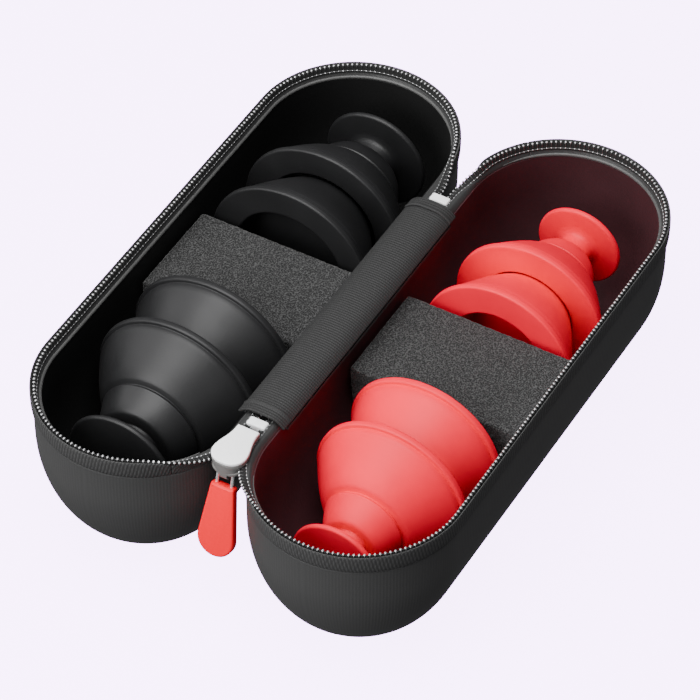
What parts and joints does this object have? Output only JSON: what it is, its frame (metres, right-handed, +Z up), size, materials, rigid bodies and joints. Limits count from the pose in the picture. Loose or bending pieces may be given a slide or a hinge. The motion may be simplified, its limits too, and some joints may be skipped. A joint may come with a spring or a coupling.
{
  "type": "ear plug travel case",
  "caption": "Ear plugs in an open zip case: flanged silicone plugs lie either side of foam dividers in two capsule-shaped halves that fold shut on a woven band.",
  "frame": {"origin": "on the surface the case stands on, under the middle of its box", "axes": "+Z up out of the open halves; Y along the case, with the zip slider and pull at -Y; +X towards the half with the red plugs"},
  "size_m": [0.0524, 0.0718, 0.0222],
  "materials": {
    "shell_fabric": "woven fabric over a moulded shell, matt",
    "black_lining": "smooth knitted lining, matt",
    "wine_lining": "smooth knitted lining, dark wine red, matt",
    "piping": "bound edge, slightly glossy",
    "zip_tape": "woven tape, matt",
    "zip_teeth": "bright teeth",
    "band_fabric": "fine twill band, matt",
    "white_metal": "white satin",
    "grey_metal": "grey satin",
    "red_rubber": "moulded, satin",
    "foam": "open-cell foam, matt",
    "red_silicone": "moulded silicone, satin",
    "black_silicone": "moulded silicone, satin"
  },
  "bodies": {
    "right_half": {"right_shell": "shell_fabric", "right_lining": "wine_lining", "right_piping": "piping", "right_zip_tape": "zip_tape", "right_zip_chain": "zip_teeth", "right_hinge_flap": "band_fabric", "right_foam_block": "foam"},
    "left_half": {"left_shell": "shell_fabric", "left_lining": "black_lining", "left_piping": "piping", "left_zip_tape": "zip_tape", "left_zip_chain": "zip_teeth", "left_hinge_flap": "band_fabric", "left_foam_block": "foam"},
    "hinge_spine": {"hinge_band": "band_fabric", "hinge_band_front_hem": "band_fabric", "hinge_band_rear_hem": "band_fabric", "hinge_core": "band_fabric", "front_stop": "white_metal", "rear_stop": "white_metal"},
    "slider": {"slider_body": "grey_metal", "slider_cap": "white_metal"},
    "pull": {"pull_bail": "white_metal", "pull_tab": "red_rubber"},
    "black_plug_front": {"black_plug_front": "black_silicone"},
    "black_plug_rear": {"black_plug_rear": "black_silicone"},
    "red_plug_front": {"red_plug_front": "red_silicone"},
    "red_plug_rear": {"red_plug_rear": "red_silicone"}
  },
  "joints": [
    {"name": "spine_fold", "type": "hinge", "parent": "right_half", "child": "hinge_spine", "pos_m": [0.003, 0, 0.01836], "axis": [0, -1, 0], "range_deg": [-90, 0]},
    {"name": "left_fold", "type": "hinge", "parent": "hinge_spine", "child": "left_half", "pos_m": [-0.003, 0, 0.01836], "axis": [0, -1, 0], "range_deg": [-90, 0]},
    {"name": "slider_travel", "type": "slide", "parent": "hinge_spine", "child": "slider", "axis": [0, -1, 0], "range_m": [0, 0.0006]},
    {"name": "pull_swing", "type": "hinge", "parent": "slider", "child": "pull", "pos_m": [0, -0.02856, 0.01746], "axis": [-1, 0, 0], "range_deg": [-8, 80]},
    {"name": "black_front_lift", "type": "slide", "parent": "left_half", "child": "black_plug_front", "axis": [0, 0, 1], "range_m": [0, 0.03]},
    {"name": "black_rear_lift", "type": "slide", "parent": "left_half", "child": "black_plug_rear", "axis": [0, 0, 1], "range_m": [0, 0.03]},
    {"name": "red_front_lift", "type": "slide", "parent": "right_half", "child": "red_plug_front", "axis": [0, 0, 1], "range_m": [0, 0.03]},
    {"name": "red_rear_lift", "type": "slide", "parent": "right_half", "child": "red_plug_rear", "axis": [0, 0, 1], "range_m": [0, 0.03]}
  ],
  "couplings": [
    {"joint": "spine_fold", "follows": "left_fold", "ratio": 1}
  ]
}
